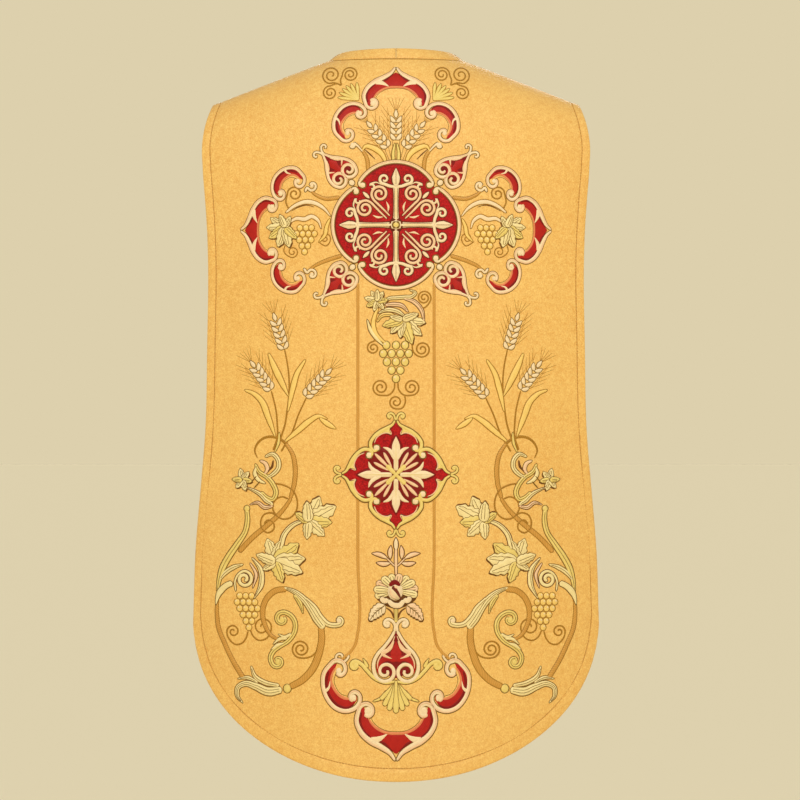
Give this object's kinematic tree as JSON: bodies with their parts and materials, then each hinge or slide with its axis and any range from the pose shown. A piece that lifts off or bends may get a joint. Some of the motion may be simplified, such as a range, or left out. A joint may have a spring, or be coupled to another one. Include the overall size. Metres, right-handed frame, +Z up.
{
  "type": "roman chasuble",
  "caption": "Sleeveless Roman-cut vestment in golden cloth, worn and hollow: wide back with an embroidered cross, narrow front, open sides and a banded neck.",
  "frame": {"origin": "middle of the neck opening at the height of the neck seam, where the wearer's shoulders hold the garment", "axes": "+Z up along the hanging cloth; -Y towards the decorated back; +X to the wearer's right"},
  "size_m": [0.614, 0.2825, 1.1019],
  "materials": {
    "gold_cloth": "pebbled golden lame weave with a soft metallic sheen",
    "red_applique": "red satin stitch ground",
    "pale_gold_thread": "pale gold satin stitch and cord",
    "brown_gold_braid": "brown-gold metallic braid"
  },
  "bodies": {
    "root": {"back_panel": "gold_cloth", "front_panel": "gold_cloth", "neck_band_left": "gold_cloth", "neck_band_right": "gold_cloth", "medallion_ground": "red_applique", "medallion_rim": "pale_gold_thread", "column_braid_left": "brown_gold_braid", "column_braid_right": "brown_gold_braid"}
  },
  "joints": []
}
